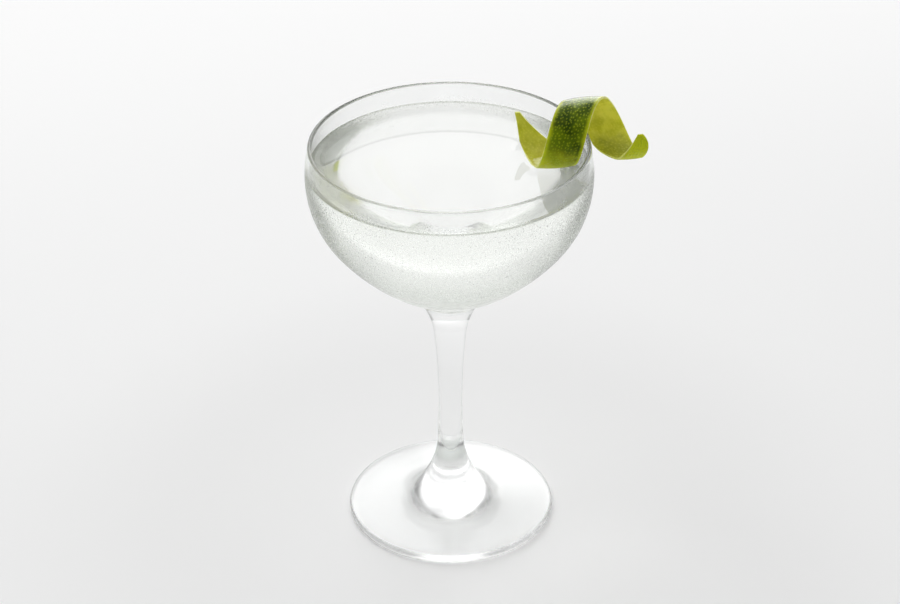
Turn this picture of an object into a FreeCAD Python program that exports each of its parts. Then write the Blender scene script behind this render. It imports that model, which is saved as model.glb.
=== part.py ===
"""A clear cocktail in a stemmed coupe glass, with a long twist of lime peel hooked over the rim.

The glass stands on z = 0 with its axis on Z. X runs towards the side the twist hangs on.
All lengths are in millimetres and all angles in degrees.
"""

import FreeCAD
import Part
import Sketcher
import math
import os

V = FreeCAD.Vector

SIZES = {
    # the glass as a whole
    "total_height": 148.3,
    "wall": 1.4,
    # the bowl, its heights counted down from the rim
    "widest_radius": 48.7,
    "widest_below_rim": 11.6,
    "side_arc": 37.0,
    "turn_below_rim": 34.3,
    "floor_arc": 88.2,
    "upper_arc": 50.0,
    "heel_arc": 25.0,
    # the stem
    "joint_arc": 8.5,
    "flare_arc": 29.0,
    "flare_below_rim": 74.3,
    "waist_radius": 4.2,
    "waist_height": 44.0,
    "flare_radius": 5.7,
    "base_flare_height": 30.0,
    "base_flare_arc": 36.0,
    "base_fillet_arc": 10.0,
    # the foot
    "foot_radius": 37.0,
    "foot_edge": 1.5,
    "foot_slope": 5.0,
    "ring_width": 4.0,
    "foot_hollow": 1.0,
    # the drink
    "drink_below_rim": 9.9,
    # the twist: a strip of peel in a loose helix about a line through the rim
    "strip_width": 13.0,
    "strip_thick": 1.2,
    "strip_edge_thick": 0.8,
    "strip_crown": 0.5,
    "helix_radius": 10.2,
    "helix_closing": 0.7,
    "helix_gap": 10.6,
    "helix_back": 4.4,
    "helix_above_rim": 2.3,
    "helix_rise": 6.5,
    "helix_yaw": -3.0,
    "hook_angle": 466.0,
    "hook_clear": 0.35,
    "tail_angle": 71.0,
    "tail_left_cut": 55.0,
    "tail_right_cut": 78.0,
    "tail_point_inset": 3.0,
    "narrow_angle": 500.0,
    "narrow_turn": 65.0,
    "tip_left_narrowing": 4.4,
    "tip_right_narrowing": 1.0,
    "tip_cut": 52.0,
    "tip_point_inset": 3.6,
    "tip_angle": 642.0,
    "point_width": 1.6,
}

# the stem's arc follows from its waist and from its radius where the flare starts
DERIVED = {
    "stem_arc": "=((total_height - flare_below_rim - waist_height) ^ 2"
    " + (flare_radius - waist_radius) ^ 2) / (2 * (flare_radius - waist_radius))",
}

# the helix's angles are counted from its top, over the back; this one is the turn that passes over the rim
TOP_ANGLE = 360.0
SECTION_STEP = 15.0
TAIL_ROUNDING = 1.7
TIP_ROUNDING = 3

document = FreeCAD.newDocument("cocktail")
sheet = document.addObject("Spreadsheet::Sheet", "sizes")
sheet.Label = "sizes"
for row, (alias, value) in enumerate({**SIZES, **DERIVED}.items(), start=1):
    sheet.set("A%d" % row, alias)
    sheet.set("B%d" % row, "%s" % value)
    sheet.setAlias("B%d" % row, alias)
document.recompute()


def size(alias):
    """One size, read back from the sheet."""
    return float(sheet.get(alias))


def plane_of(body, role):
    """The origin plane of a body that plays this role."""
    return next(item for item in body.Origin.OriginFeatures if item.Role == role)


def new_sketch(body, name):
    """A sketch on the body's XZ plane, so sketch x is the radius and sketch y is the height."""
    sketch = body.newObject("Sketcher::SketchObject", name)
    sketch.AttachmentSupport = [(plane_of(body, "XZ_Plane"), "")]
    sketch.MapMode = "FlatFace"
    return sketch


def polar(centre, radius, angle):
    """The point at an angle on a circle in the sketch plane."""
    return V(centre.x + radius * math.cos(angle), centre.y + radius * math.sin(angle), 0)


def arc(sketch, centre, radius, start, end):
    """Add a counter-clockwise arc between two angles and return its index."""
    circle = Part.Circle(centre, V(0, 0, 1), radius)
    return sketch.addGeometry(Part.ArcOfCircle(circle, start, end), False)


def line(sketch, start, end):
    """Add a straight line and return its index."""
    return sketch.addGeometry(Part.LineSegment(start, end), False)


def bind(sketch, kind, items, value, formula):
    """Add a dimension and tie it to a formula of the sheet's sizes."""
    number = sketch.addConstraint(Sketcher.Constraint(kind, *items, value))
    sketch.setExpression("Constraints[%d]" % number, formula)


def join(sketch, first, first_end, second, second_end, smooth=True):
    """Join two ends, smoothly or at a corner."""
    kind = "Tangent" if smooth else "Coincident"
    sketch.addConstraint(Sketcher.Constraint(kind, first, first_end, second, second_end))


def put(sketch, item, end, point, across, up):
    """Hold one point at two sheet formulas, across and up from the origin; None leaves a way free."""
    if across:
        bind(sketch, "DistanceX", (-1, 1, item, end), point.x, across)
    if up:
        bind(sketch, "DistanceY", (-1, 1, item, end), point.y, up)


START = 1
END = 2
CENTRE = 3
WIDEST = "sizes.total_height - sizes.widest_below_rim"
TURN_DROP = "(sizes.turn_below_rim - sizes.widest_below_rim)"


class BowlCurve:
    """The bowl's side in half section: an upper arc, a side arc and a floor arc, all moved in by an offset."""

    def __init__(self, offset, offset_formula):
        """Work out where the three arcs lie; offset is 0 for the outside and the wall for the inside."""
        self.offset_formula = offset_formula
        self.side = size("side_arc") - offset
        self.floor = size("floor_arc") - offset
        self.upper = size("upper_arc") - offset
        widest = size("total_height") - size("widest_below_rim")
        self.side_centre = V(size("widest_radius") - size("side_arc"), widest, 0)
        drop = size("turn_below_rim") - size("widest_below_rim")
        self.turn = math.asin(drop / size("side_arc"))
        reach = size("floor_arc") - size("side_arc")
        self.floor_centre = polar(self.side_centre, -reach, -self.turn)
        self.upper_centre = V(size("widest_radius") - size("upper_arc"), widest, 0)

    def draw(self, sketch, floor_angle, upper_angle):
        """Add the three arcs, from the given angle on the floor arc to the one on the upper arc."""
        floor = arc(sketch, self.floor_centre, self.floor, floor_angle, -self.turn)
        side = arc(sketch, self.side_centre, self.side, -self.turn, 0)
        upper = arc(sketch, self.upper_centre, self.upper, 0, upper_angle)
        less = self.offset_formula
        put(sketch, side, CENTRE, self.side_centre, "sizes.widest_radius - sizes.side_arc", WIDEST)
        bind(sketch, "Radius", (side,), self.side, "sizes.side_arc - %s" % less)
        join(sketch, floor, END, side, START)
        turn_point = polar(self.side_centre, self.side, -self.turn)
        share = "(sizes.side_arc - %s) / sizes.side_arc" % less
        turn_height = "%s - %s * %s" % (WIDEST, TURN_DROP, share)
        put(sketch, side, START, turn_point, None, turn_height)
        bind(sketch, "Radius", (floor,), self.floor, "sizes.floor_arc - %s" % less)
        join(sketch, side, END, upper, START)
        put(sketch, upper, CENTRE, self.upper_centre, None, WIDEST)
        bind(sketch, "Radius", (upper,), self.upper, "sizes.upper_arc - %s" % less)
        return floor, upper

    def heel(self):
        """The circle on the axis that rounds the inside's lowest part, and the angle where it meets the floor."""
        between = self.floor - size("heel_arc")
        height = self.floor_centre.y - math.sqrt(between ** 2 - self.floor_centre.x ** 2)
        centre = V(0, height, 0)
        angle = math.atan2(height - self.floor_centre.y, -self.floor_centre.x)
        return centre, angle

    def draw_heel(self, sketch, floor):
        """Round the inside's lowest part with an arc from the axis to the floor arc."""
        centre, angle = self.heel()
        heel = arc(sketch, centre, size("heel_arc"), -math.pi / 2, angle)
        bind(sketch, "Radius", (heel,), size("heel_arc"), "sizes.heel_arc")
        sketch.addConstraint(Sketcher.Constraint("PointOnObject", heel, CENTRE, -2))
        sketch.addConstraint(Sketcher.Constraint("PointOnObject", heel, START, -2))
        join(sketch, heel, END, floor, START)
        return heel, V(0, centre.y - size("heel_arc"), 0)

    def upper_angle(self, height):
        """The angle at which the upper arc reaches a height."""
        return math.asin((height - self.upper_centre.y) / self.upper)


def revolve(body, sketch, name):
    """Turn a half section into a full round solid about the Z axis."""
    turned = body.newObject("PartDesign::Revolution", name)
    turned.Profile = sketch
    turned.ReferenceAxis = (sketch, ["V_Axis"])
    turned.Angle = 360.0
    return turned


def angle_to(start, end):
    """The direction from one point to another."""
    return math.atan2(end.y - start.y, end.x - start.x)


def make_glass():
    """The glass: one solid of revolution, from the foot's underside up the outside and down the inside."""
    body = document.addObject("PartDesign::Body", "glass")
    body.Label = "glass"
    sketch = new_sketch(body, "glass_outline")
    outside = BowlCurve(0.0, "0")
    inside = BowlCurve(size("wall"), "sizes.wall")
    rim_height = size("total_height") - size("wall") / 2
    middle = size("upper_arc") - size("wall") / 2
    rim_angle = math.asin((rim_height - outside.upper_centre.y) / middle)
    rim_centre = polar(outside.upper_centre, middle, rim_angle)

    # the stem's arcs, worked out from the waist outwards, have their centres outside the glass
    stem_centre = V(size("waist_radius") + size("stem_arc"), size("waist_height"), 0)
    flare_height = size("total_height") - size("flare_below_rim")
    flare_start = math.pi - math.asin((flare_height - stem_centre.y) / size("stem_arc"))
    flare_reach = size("stem_arc") - size("flare_arc")
    flare_centre = polar(stem_centre, flare_reach, flare_start)
    joint = size("joint_arc")
    flare_far = size("flare_arc") - joint
    floor_far = size("floor_arc") + joint
    span = (outside.floor_centre - flare_centre).Length
    along = (flare_far ** 2 - floor_far ** 2 + span ** 2) / (2 * span)
    off = math.sqrt(flare_far ** 2 - along ** 2)
    unit = (outside.floor_centre - flare_centre) * (1 / span)
    joint_centre = flare_centre + unit * along + V(-unit.y, unit.x, 0) * off
    flare_end = angle_to(flare_centre, joint_centre)
    joint_end = angle_to(outside.floor_centre, joint_centre)

    base_height = size("base_flare_height")
    base_start = math.pi + math.asin((stem_centre.y - base_height) / size("stem_arc"))
    base_reach = size("stem_arc") - size("base_flare_arc")
    base_centre = polar(stem_centre, base_reach, base_start)
    edge = size("foot_edge")
    edge_centre = V(size("foot_radius") - edge, edge, 0)
    slope = math.radians(size("foot_slope"))
    slope_start = polar(edge_centre, edge, math.pi / 2 - slope)
    fillet = size("base_fillet_arc")
    downhill = V(math.cos(slope), -math.sin(slope), 0)
    uphill = V(math.sin(slope), math.cos(slope), 0)
    fillet_line = slope_start + uphill * fillet
    offset = (base_centre - fillet_line).dot(uphill)
    half = math.sqrt((size("base_flare_arc") - fillet) ** 2 - offset ** 2)
    fillet_centre = fillet_line + downhill * ((base_centre - fillet_line).dot(downhill) - half)
    slope_end = fillet_centre - uphill * fillet
    fillet_end = angle_to(base_centre, fillet_centre)

    ring_start = V(edge_centre.x - size("ring_width"), 0, 0)
    hollow = size("foot_hollow")
    hollow_radius = (ring_start.x ** 2 + hollow ** 2) / (2 * hollow)
    hollow_centre = V(0, hollow - hollow_radius, 0)

    under = arc(sketch, hollow_centre, hollow_radius, angle_to(hollow_centre, ring_start), math.pi / 2)
    ring = line(sketch, ring_start, V(edge_centre.x, 0, 0))
    rim_of_foot = arc(sketch, edge_centre, edge, -math.pi / 2, math.pi / 2 - slope)
    top = line(sketch, slope_start, slope_end)
    fillet_arc = arc(sketch, fillet_centre, fillet, fillet_end % (2 * math.pi), 3 * math.pi / 2 - slope)
    base_arc = arc(sketch, base_centre, size("base_flare_arc"), base_start, fillet_end % (2 * math.pi))
    stem = arc(sketch, stem_centre, size("stem_arc"), flare_start, base_start)
    flare = arc(sketch, flare_centre, size("flare_arc"), flare_end, flare_start)
    joint_arc = arc(sketch, joint_centre, joint, joint_end + math.pi, flare_end)
    floor_out, upper_out = outside.draw(sketch, joint_end, rim_angle)
    rim = arc(sketch, rim_centre, size("wall") / 2, rim_angle, rim_angle + math.pi)
    floor_in, upper_in = inside.draw(sketch, inside.heel()[1], rim_angle)
    heel, heel_point = inside.draw_heel(sketch, floor_in)
    axis = line(sketch, heel_point, V(0, hollow, 0))

    sketch.addConstraint(Sketcher.Constraint("PointOnObject", under, CENTRE, -2))
    sketch.addConstraint(Sketcher.Constraint("PointOnObject", under, END, -2))
    put(sketch, under, END, V(0, hollow, 0), None, "sizes.foot_hollow")
    join(sketch, under, START, ring, START, smooth=False)
    ring_in = "sizes.foot_radius - sizes.foot_edge - sizes.ring_width"
    put(sketch, ring, START, ring_start, ring_in, None)
    sketch.addConstraint(Sketcher.Constraint("PointOnObject", ring, START, -1))
    join(sketch, ring, END, rim_of_foot, START)
    edge_across = "sizes.foot_radius - sizes.foot_edge"
    put(sketch, rim_of_foot, CENTRE, edge_centre, edge_across, "sizes.foot_edge")
    bind(sketch, "Radius", (rim_of_foot,), edge, "sizes.foot_edge")
    join(sketch, rim_of_foot, END, top, START)
    bind(sketch, "Angle", (top,), math.pi - slope, "180 - sizes.foot_slope")
    join(sketch, top, END, fillet_arc, END)
    bind(sketch, "Radius", (fillet_arc,), fillet, "sizes.base_fillet_arc")
    join(sketch, fillet_arc, START, base_arc, END)
    bind(sketch, "Radius", (base_arc,), size("base_flare_arc"), "sizes.base_flare_arc")
    join(sketch, base_arc, START, stem, END)
    put(sketch, stem, END, V(0, base_height, 0), None, "sizes.base_flare_height")
    waist_across = "sizes.waist_radius + sizes.stem_arc"
    put(sketch, stem, CENTRE, stem_centre, waist_across, "sizes.waist_height")
    bind(sketch, "Radius", (stem,), size("stem_arc"), "sizes.stem_arc")
    join(sketch, stem, START, flare, END)
    put(sketch, stem, START, V(0, flare_height, 0), None, "sizes.total_height - sizes.flare_below_rim")
    bind(sketch, "Radius", (flare,), size("flare_arc"), "sizes.flare_arc")
    join(sketch, flare, START, joint_arc, END)
    bind(sketch, "Radius", (joint_arc,), joint, "sizes.joint_arc")
    join(sketch, joint_arc, START, floor_out, START)
    join(sketch, upper_out, END, rim, START)
    join(sketch, rim, END, upper_in, END)
    put(sketch, rim, CENTRE, rim_centre, None, "sizes.total_height - sizes.wall / 2")
    join(sketch, heel, START, axis, START, smooth=False)
    join(sketch, axis, END, under, END, smooth=False)
    revolve(body, sketch, "glass_turned")
    return body


def make_drink_fill():
    """The drink before the twist is cut out of it: the inside of the bowl up to the level."""
    body = document.addObject("PartDesign::Body", "drink_fill")
    body.Label = "drink_fill"
    sketch = new_sketch(body, "drink_outline")
    inside = BowlCurve(size("wall"), "sizes.wall")
    level = size("total_height") - size("drink_below_rim")
    level_angle = inside.upper_angle(level)
    edge_point = polar(inside.upper_centre, inside.upper, level_angle)
    floor, upper = inside.draw(sketch, inside.heel()[1], level_angle)
    heel, heel_point = inside.draw_heel(sketch, floor)
    surface = line(sketch, edge_point, V(0, level, 0))
    axis = line(sketch, V(0, level, 0), heel_point)
    join(sketch, upper, END, surface, START, smooth=False)
    join(sketch, surface, END, axis, START, smooth=False)
    join(sketch, axis, END, heel, START, smooth=False)
    level_formula = "sizes.total_height - sizes.drink_below_rim"
    put(sketch, surface, START, edge_point, None, level_formula)
    put(sketch, surface, END, V(0, level, 0), None, level_formula)
    sketch.addConstraint(Sketcher.Constraint("PointOnObject", surface, END, -2))
    revolve(body, sketch, "drink_turned")
    return body


def clamp(value):
    """A share kept between 0 and 1."""
    return min(1.0, max(0.0, value))


def ease(value):
    """A share eased at both ends."""
    share = clamp(value)
    return share * share * (3 - 2 * share)


class PeelStrip:
    """A strip of peel wound in a loose helix, its zest outwards, hooked over the rim of the glass."""

    def __init__(self):
        """Read the sizes and place the helix so that its left edge just clears the rim at the hook."""
        self.width = size("strip_width")
        self.pitch = self.width + size("helix_gap")
        rim_radius = size("widest_radius") - size("upper_arc") + math.sqrt(
            (size("upper_arc") - size("wall") / 2) ** 2
            - (size("widest_below_rim") - size("wall") / 2) ** 2
        )
        rise = math.tan(math.radians(size("helix_rise")))
        yaw = math.tan(math.radians(size("helix_yaw")))
        self.along = V(1, yaw, rise).normalize()
        up = V(0, 0, 1)
        self.up = (up - self.along * up.dot(self.along)).normalize()
        self.back = self.up.cross(self.along)
        height = size("total_height") + size("helix_above_rim")
        self.centre = V(rim_radius, size("helix_back"), height)
        self.shift = 0.0
        hook = size("hook_angle")
        clear_radius = rim_radius + size("wall") / 2 + size("hook_clear")
        corner = self.point(hook, -self.width / 2, 0.0)
        wanted = math.sqrt(clear_radius ** 2 - corner.y ** 2)
        self.shift = (wanted - corner.x) / self.along.x

    def point(self, angle, across, out):
        """The point at an angle of the helix, across the strip from its middle, and out from its inside."""
        turned = math.radians(angle)
        radius = size("helix_radius") - size("helix_closing") * (angle - TOP_ANGLE) / 360 + out
        middle = self.shift + self.pitch * (angle - TOP_ANGLE) / 360
        radial = self.back * math.sin(turned) + self.up * math.cos(turned)
        return self.centre + self.along * (middle + across) + radial * radius

    def edges(self, angle):
        """Where the strip's left and right edges are, across from its middle, with both ends cut slantwise."""
        half = self.width / 2
        from_tail = angle - size("tail_angle")
        left_share = 1 - clamp(from_tail / size("tail_left_cut"))
        right_share = 1 - clamp(from_tail / size("tail_right_cut")) ** TAIL_ROUNDING
        point = size("point_width")
        left = -half + size("tail_point_inset") * left_share
        right = half - (self.width - size("tail_point_inset") - point) * right_share
        narrowed = ease((angle - size("narrow_angle")) / size("narrow_turn"))
        to_tip = clamp(1 - (size("tip_angle") - angle) / size("tip_cut"))
        narrowing = size("tip_left_narrowing") + size("tip_right_narrowing")
        cut = self.width - narrowing - size("tip_point_inset") - point
        left += size("tip_left_narrowing") * narrowed + cut * to_tip
        right -= size("tip_right_narrowing") * narrowed + size("tip_point_inset") * to_tip ** TIP_ROUNDING
        return left, right

    def section(self, angle):
        """The strip's closed cross-section at an angle: crowned outside and inside, thinner at both edges."""
        left, right = self.edges(angle)
        share = ((right - left) / self.width) ** 2
        edge = size("strip_edge_thick")
        crown = size("strip_crown") * share
        inner_crown = crown - (size("strip_thick") - edge) * share
        middle = (left + right) / 2
        corners = [self.point(angle, left, 0), self.point(angle, right, 0)]
        corners += [self.point(angle, right, edge), self.point(angle, left, edge)]
        inner = Part.BezierCurve()
        inner.setPoles([corners[0], self.point(angle, middle, 2 * inner_crown), corners[1]])
        outer = Part.BezierCurve()
        outer.setPoles([corners[2], self.point(angle, middle, edge + 2 * crown), corners[3]])
        right_side = Part.LineSegment(corners[1], corners[2])
        left_side = Part.LineSegment(corners[3], corners[0])
        return Part.Wire([side.toShape() for side in (inner, right_side, outer, left_side)])

    def solid(self):
        """The whole strip, lofted through evenly spaced sections."""
        start = size("tail_angle")
        turn = size("tip_angle") - start
        count = math.ceil(turn / SECTION_STEP)
        sections = [self.section(start + turn * step / count) for step in range(count + 1)]
        return Part.makeLoft(sections, True, False)


def make_twist():
    """The twist of peel: a loft that narrows and is cut slantwise, which no single part feature makes."""
    twist = document.addObject("Part::Feature", "lime_twist")
    twist.Label = "lime_twist"
    twist.Shape = PeelStrip().solid()
    return twist


def cut_round(name, base, tool):
    """The base with the tool's space taken out of it."""
    cut = document.addObject("Part::Cut", name)
    cut.Base = base
    cut.Tool = tool
    cut.Label = name
    return cut


def check_all():
    """Stop if any object failed to compute."""
    for item in document.Objects:
        if "Invalid" in item.State or "Error" in item.State:
            raise RuntimeError("%s did not compute: %s" % (item.Label, item.State))


def export(nodes):
    """Write each node's one valid solid to its own file."""
    os.makedirs("parts", exist_ok=True)
    for node in nodes:
        shape = node.Shape
        if shape.isNull() or not shape.isValid() or len(shape.Solids) != 1:
            raise RuntimeError("%s is not one valid solid" % node.Label)
        shape.exportStep("parts/%s.step" % node.Label)
        print("%s: %.1f cubic millimetres" % (node.Label, shape.Volume))


glass = make_glass()
lime_twist = make_twist()
drink_fill = make_drink_fill()
document.recompute()
drink = cut_round("drink", drink_fill, lime_twist)
document.recompute()
check_all()
export([glass, drink, lime_twist])
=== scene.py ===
"""A clear cocktail in a stemmed coupe glass, with a curled strip of lime peel hooked over the rim.

The glass, the drink and the peel each replace their plain solid with a finely made piece of
the same size and place. Lengths inside the classes are in millimetres, meshes in metres.
"""

import logging
import math
from dataclasses import dataclass
from enum import Enum, IntEnum

import bpy
import numpy as np
from mathutils import Matrix, Vector
from mathutils.kdtree import KDTree


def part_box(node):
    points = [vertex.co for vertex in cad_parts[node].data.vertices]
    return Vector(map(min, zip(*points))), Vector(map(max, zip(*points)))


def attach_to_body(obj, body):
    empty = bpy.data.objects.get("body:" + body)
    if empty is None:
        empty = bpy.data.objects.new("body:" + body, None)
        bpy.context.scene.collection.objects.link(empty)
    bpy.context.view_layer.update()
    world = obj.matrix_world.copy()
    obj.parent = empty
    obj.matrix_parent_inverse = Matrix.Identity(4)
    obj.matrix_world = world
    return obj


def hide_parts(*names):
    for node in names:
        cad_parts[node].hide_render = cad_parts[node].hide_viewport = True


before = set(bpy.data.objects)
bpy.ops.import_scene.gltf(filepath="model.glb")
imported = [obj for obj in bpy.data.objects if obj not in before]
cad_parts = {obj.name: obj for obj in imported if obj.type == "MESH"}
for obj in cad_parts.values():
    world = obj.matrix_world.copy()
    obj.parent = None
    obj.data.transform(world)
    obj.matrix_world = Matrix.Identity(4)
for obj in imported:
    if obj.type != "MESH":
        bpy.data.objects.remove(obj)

LOG = logging.getLogger("cocktail")
MILLIMETRE = 0.001
BODY = "root"
WETTING_CLIMB = 2.1
GLASS_BEND = 1.50
DRINK_BEND = 1.345
WATER_BEND = 1.33
PEEL_SEED = 7
DEW_SEED = 11
FULL_TURN = 360.0

Socket = bpy.types.NodeSocket
Tint = tuple[float, float, float]
Colour = Socket | Tint
Faces = list[tuple[int, ...]]


class Slot(Enum):
    """The record's material slots."""

    GLASS = "clear_glass"
    DRINK = "cocktail"
    PEEL = "lime_peel"


class Node(Enum):
    """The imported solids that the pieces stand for."""

    GLASS = "glass"
    DRINK = "drink"
    TWIST = "lime_twist"


class GlassZone(IntEnum):
    """The glass's finishes, in slot order."""

    DRY = 0
    MISTED = 1
    WETTED = 2
    THICK = 3
    # Painted shade: a darker glass tint painted as a dark line where the drink ends.
    PAINTED_LINE = 4


class StripSide(IntEnum):
    """The finishes of the strip of peel, in slot order."""

    ZEST = 0
    PITH = 1
    CUT = 2


# ---------------------------------------------------------------- meshes


def new_object(name: str, mesh: bpy.types.Mesh) -> bpy.types.Object:
    """Link a new object that holds a mesh.

    Args:
        name: The object's name.
        mesh: Its mesh.

    Returns:
        The linked object.
    """
    piece = bpy.data.objects.new(name, mesh)
    bpy.context.scene.collection.objects.link(piece)
    return piece


def make_piece(
    name: str,
    points: np.ndarray,
    faces: Faces,
    materials: list[bpy.types.Material],
    material_of_face: np.ndarray | None = None,
    smooth: bool = True,
) -> bpy.types.Object:
    """Build one mesh object from points in millimetres.

    Args:
        name: The object's name.
        points: An array of points, one row each.
        faces: Index tuples, one for each face.
        materials: The materials, in slot order.
        material_of_face: The slot number of each face; all faces take the first slot if left out.
        smooth: Whether the faces are shaded smooth.

    Returns:
        The linked object.
    """
    mesh = bpy.data.meshes.new(name)
    mesh.from_pydata((points * MILLIMETRE).tolist(), [], [tuple(face) for face in faces])
    for material in materials:
        mesh.materials.append(material)
    if material_of_face is not None:
        mesh.polygons.foreach_set("material_index", np.asarray(material_of_face, dtype=np.int32))
    mesh.polygons.foreach_set("use_smooth", np.full(len(mesh.polygons), smooth))
    mesh.update()
    return new_object(name, mesh)


def add_uv(piece: bpy.types.Object, values: np.ndarray) -> None:
    """Give each corner of a mesh the map position of its vertex.

    Args:
        piece: The mesh object.
        values: One pair of map coordinates for each vertex.
    """
    mesh = piece.data
    layer = mesh.uv_layers.new(name="surface")
    corners = np.empty(len(mesh.loops), dtype=np.int32)
    mesh.loops.foreach_get("vertex_index", corners)
    layer.data.foreach_set("uv", values[corners].astype(np.float32).ravel())


def lathe(profile: np.ndarray, segments: int) -> tuple[np.ndarray, Faces, np.ndarray]:
    """Turn a half section, which starts and ends on the axis, into a closed round mesh.

    Args:
        profile: Rows of radius and height, the first and last at radius 0.
        segments: The number of steps round the axis.

    Returns:
        The points, the faces, and for each face the number of the profile step it belongs to.
    """
    rings = profile[1:-1]
    turn = np.linspace(0, math.tau, segments, endpoint=False)
    across = rings[:, :1]
    flat = [across * np.cos(turn), across * np.sin(turn), np.repeat(rings[:, 1:], segments, axis=1)]
    body = np.stack(flat, axis=2).reshape(-1, 3)
    points = np.vstack([body, [[0, 0, profile[0, 1]], [0, 0, profile[-1, 1]]]])
    first, last = len(body), len(body) + 1
    nxt = np.roll(np.arange(segments), -1)
    faces: Faces = [(first, nxt[k], k) for k in range(segments)]
    for ring in range(len(rings) - 1):
        low, high = ring * segments, (ring + 1) * segments
        faces += [(low + k, low + nxt[k], high + nxt[k], high + k) for k in range(segments)]
    top = (len(rings) - 1) * segments
    faces += [(top + k, top + nxt[k], last) for k in range(segments)]
    steps = np.repeat(np.arange(len(rings) + 1), segments)
    return points, faces, steps


# ---------------------------------------------------------------- the outline of the glass


@dataclass(frozen=True)
class Arc:
    """A circular arc in the half section.

    Attributes:
        centre: Its centre's radius and height.
        radius: Its radius.
        start: The angle where it starts.
        end: The angle where it ends; smaller than start if it runs clockwise.
    """

    centre: np.ndarray
    radius: float
    start: float
    end: float

    def points(self, spacing: float) -> np.ndarray:
        """Points along the arc, about a spacing apart, both ends included.

        Args:
            spacing: The most that two points may be apart.

        Returns:
            Rows of radius and height.
        """
        length = abs(self.end - self.start) * self.radius
        count = max(4, int(math.ceil(length / spacing)))
        angle = np.linspace(self.start, self.end, count + 1)
        return self.centre + self.radius * np.stack([np.cos(angle), np.sin(angle)], axis=1)


def polar(centre: np.ndarray, radius: float, angle: float) -> np.ndarray:
    """The point at an angle on a circle."""
    return centre + radius * np.array([math.cos(angle), math.sin(angle)])


def bearing(start: np.ndarray, end: np.ndarray) -> float:
    """The direction from one point to another."""
    return math.atan2(end[1] - start[1], end[0] - start[0])


@dataclass(frozen=True)
class CoupeSizes:
    """The sizes of the coupe glass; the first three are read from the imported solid.

    Attributes:
        height: From the table to the top of the rim.
        widest: The bowl's largest radius.
        drink_level: The height of the drink's still surface.
        wall: The thickness of the wall.
        widest_below_rim: How far below the rim the bowl is widest.
        side_arc: The radius of the side's arc.
        turn_below_rim: How far below the rim the side turns into the floor.
        floor_arc: The radius of the floor's arc.
        upper_arc: The radius of the arc up to the rim.
        heel_arc: The radius of the inside's lowest part.
        joint_arc: The radius where the stem meets the bowl.
        flare_arc: The radius of the stem's flare below the bowl.
        flare_below_rim: How far below the rim that flare starts.
        waist_radius: The stem's smallest radius.
        waist_height: The height of that place.
        flare_radius: The stem's radius where the flare starts.
        base_flare_height: The height where the stem's lower flare starts.
        base_flare_arc: The radius of the lower flare.
        base_fillet_arc: The radius where it meets the foot.
        foot_radius: The foot's radius.
        foot_edge: The radius of the foot's rounded edge.
        foot_slope: How steeply the foot falls to its edge, in degrees.
        ring_width: The width of the ring that the foot stands on.
        foot_hollow: The depth of the hollow under the foot.
    """

    height: float
    widest: float
    drink_level: float
    wall: float = 1.4
    widest_below_rim: float = 11.6
    side_arc: float = 37.0
    turn_below_rim: float = 34.3
    floor_arc: float = 88.2
    upper_arc: float = 50.0
    heel_arc: float = 25.0
    joint_arc: float = 8.5
    flare_arc: float = 29.0
    flare_below_rim: float = 74.3
    waist_radius: float = 4.2
    waist_height: float = 44.0
    flare_radius: float = 5.7
    base_flare_height: float = 30.0
    base_flare_arc: float = 36.0
    base_fillet_arc: float = 10.0
    foot_radius: float = 37.0
    foot_edge: float = 1.5
    foot_slope: float = 5.0
    ring_width: float = 4.0
    foot_hollow: float = 1.0

    @property
    def widest_height(self) -> float:
        """The height at which the bowl is widest."""
        return self.height - self.widest_below_rim

    @property
    def side_centre(self) -> np.ndarray:
        """The centre of the side arcs."""
        return np.array([self.widest - self.side_arc, self.widest_height])

    @property
    def turn(self) -> float:
        """The angle below the level at which the side arc meets the floor arc."""
        return math.asin((self.turn_below_rim - self.widest_below_rim) / self.side_arc)

    @property
    def floor_centre(self) -> np.ndarray:
        """The centre of the floor arcs."""
        return polar(self.side_centre, self.side_arc - self.floor_arc, -self.turn)

    @property
    def upper_centre(self) -> np.ndarray:
        """The centre of the arcs between the widest place and the rim."""
        return np.array([self.widest - self.upper_arc, self.widest_height])

    @property
    def rim_angle(self) -> float:
        """The angle of the rim's bead on the upper arc."""
        middle = self.upper_arc - self.wall / 2
        return math.asin((self.height - self.wall / 2 - self.widest_height) / middle)

    @property
    def rim_radius(self) -> float:
        """The radius of the rim's middle line."""
        return float(polar(self.upper_centre, self.upper_arc - self.wall / 2, self.rim_angle)[0])

    def inner_radius(self, height: float) -> float:
        """The inside radius of the bowl at a height above its turn.

        Args:
            height: The height.

        Returns:
            The radius.
        """
        if height >= self.widest_height:
            reach = self.upper_arc - self.wall
            centre = self.upper_centre
        else:
            reach = self.side_arc - self.wall
            centre = self.side_centre
        return float(centre[0] + math.sqrt(reach**2 - (height - centre[1]) ** 2))


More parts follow.
